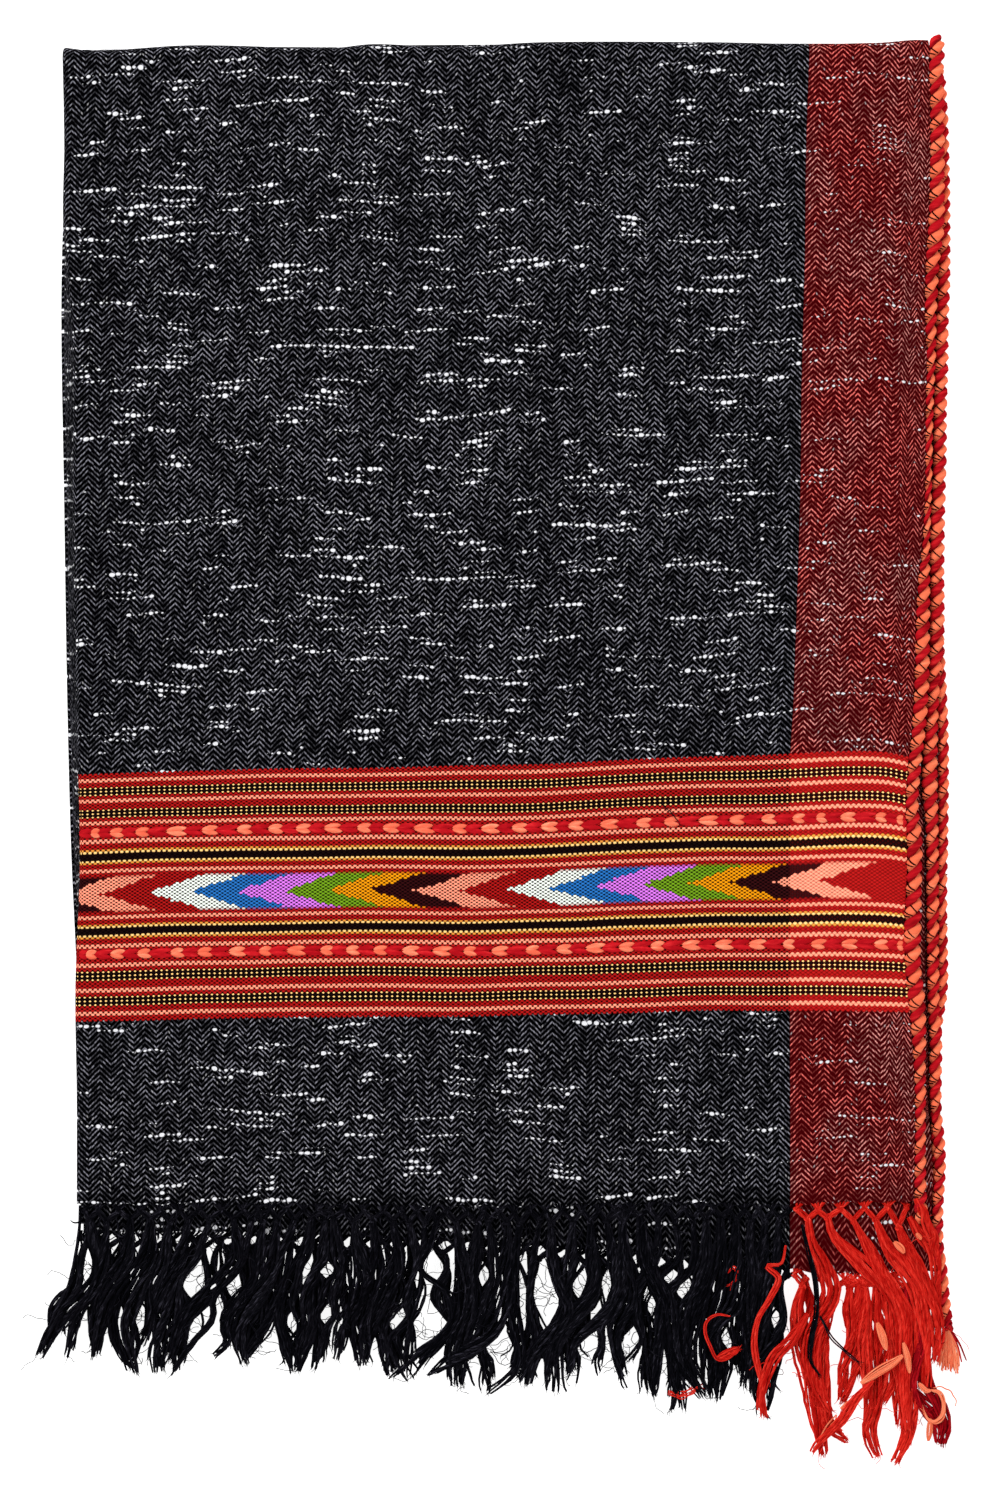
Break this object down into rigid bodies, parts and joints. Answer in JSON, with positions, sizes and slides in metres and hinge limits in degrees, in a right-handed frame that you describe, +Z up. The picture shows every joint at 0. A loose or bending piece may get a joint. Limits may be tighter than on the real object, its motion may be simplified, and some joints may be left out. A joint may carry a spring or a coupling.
{
  "type": "folded stole",
  "caption": "Handwoven woollen stole folded flat: herringbone cloth with a red side border, a tapestry band, twisted edging and a knotted fringe.",
  "frame": {"origin": "middle of the footprint, on the surface that the stole lies on", "axes": "+Z up out of the front face, +Y from the fringe towards the top fold, +X from the left fold towards the edged selvedges"},
  "size_m": [0.3938, 0.6008, 0.0138],
  "materials": {
    "cloth": "matte napped wool, black and grey herringbone with a red side border and a tapestry band",
    "edging": "twisted wool plies, salmon and dark red",
    "fringe_black": "loose matte black wool yarn",
    "fringe_red": "loose matte red wool yarn"
  },
  "bodies": {
    "root": {"folded_layers": "cloth", "under_panel": "cloth", "front_panel": "cloth", "edging_under": "edging", "edging_front": "edging", "edging_tassel": "edging", "fringe_front_black": "fringe_black", "fringe_front_red": "fringe_red", "fringe_under_black": "fringe_black", "fringe_under_red": "fringe_red", "fringe_lower_black": "fringe_black", "fringe_lower_red": "fringe_red"}
  },
  "joints": []
}
